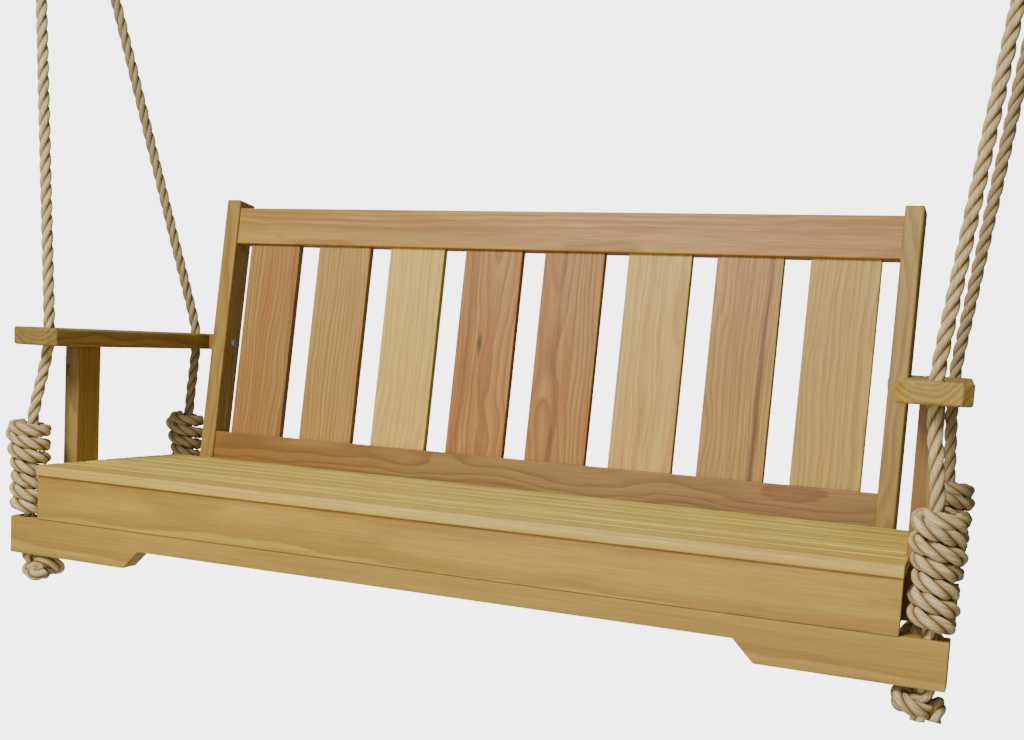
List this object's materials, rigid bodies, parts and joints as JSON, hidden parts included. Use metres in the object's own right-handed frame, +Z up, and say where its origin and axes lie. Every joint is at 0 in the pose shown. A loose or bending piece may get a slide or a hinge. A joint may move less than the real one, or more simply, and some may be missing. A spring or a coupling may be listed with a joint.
{
  "type": "porch swing",
  "caption": "Wooden porch swing bench with slatted seat and reclined back, hung on four knotted ropes from pivoting ceiling brackets.",
  "frame": {"origin": "the ceiling plane, midway between the two bracket plates and directly above the swing pins' line", "axes": "+X along the bench to the right-hand arm, +Y towards the back of the bench, +Z up"},
  "size_m": [2.3088, 0.727, 2.1818],
  "materials": {
    "honey_cedar": "satin oiled",
    "pale_cedar": "satin oiled",
    "red_cedar": "satin oiled",
    "dark_cedar": "satin oiled",
    "rope": "three-strand lay",
    "worn_rope": "three-strand lay, weathered",
    "zinc_hardware": "zinc plated",
    "thimble_steel": "galvanised",
    "bracket_paint": "black satin"
  },
  "bodies": {
    "ceiling_brackets": {"ceiling_bracket_left": "bracket_paint", "ceiling_bracket_right": "bracket_paint", "swing_pins": "zinc_hardware"},
    "swing": {"arm_bolts": "zinc_hardware", "arm_post_left": "honey_cedar", "arm_post_right": "dark_cedar", "arm_spacer_left": "honey_cedar", "arm_spacer_right": "honey_cedar", "armrest_left": "honey_cedar", "armrest_right": "honey_cedar", "back_bearer_left": "honey_cedar", "back_bearer_right": "honey_cedar", "back_bottom_rail": "dark_cedar", "back_post_left": "honey_cedar", "back_post_right": "honey_cedar", "back_slat_1": "red_cedar", "back_slat_2": "red_cedar", "back_slat_3": "pale_cedar", "back_slat_4": "dark_cedar", "back_slat_5": "dark_cedar", "back_slat_6": "pale_cedar", "back_slat_7": "pale_cedar", "back_slat_8": "pale_cedar", "back_top_rail": "honey_cedar", "bolt_washers": "zinc_hardware", "end_bearer_left": "honey_cedar", "end_bearer_right": "honey_cedar", "front_apron": "honey_cedar", "front_beam": "honey_cedar", "front_nose_slat": "honey_cedar", "post_bolts": "zinc_hardware", "post_nuts": "zinc_hardware", "rear_beam": "honey_cedar", "rope_eye_front_left": "rope", "rope_eye_front_right": "rope", "rope_eye_rear_left": "rope", "rope_eye_rear_right": "rope", "rope_front_left": "rope", "rope_front_right": "rope", "rope_rear_left": "rope", "rope_rear_right": "rope", "rope_thimbles": "thimble_steel", "rope_wrap_front_left": "rope", "rope_wrap_front_right": "rope", "rope_wrap_rear_left": "worn_rope", "rope_wrap_rear_right": "worn_rope", "seat_bearer_left": "honey_cedar", "seat_bearer_middle": "honey_cedar", "seat_bearer_right": "honey_cedar", "seat_slat_1": "honey_cedar", "seat_slat_2": "honey_cedar", "seat_slat_3": "honey_cedar", "seat_slat_4": "honey_cedar", "seat_slat_5": "honey_cedar", "seat_slat_6": "honey_cedar", "stopper_knot_front_left": "rope", "stopper_knot_front_right": "rope", "stopper_knot_rear_left": "worn_rope", "stopper_knot_rear_right": "worn_rope", "wood_screws": "zinc_hardware"}
  },
  "joints": [
    {"name": "swing", "type": "hinge", "parent": "ceiling_brackets", "child": "swing", "pos_m": [0, 0, -0.056], "axis": [1, 0, 0], "range_deg": [-30, 30]}
  ]
}
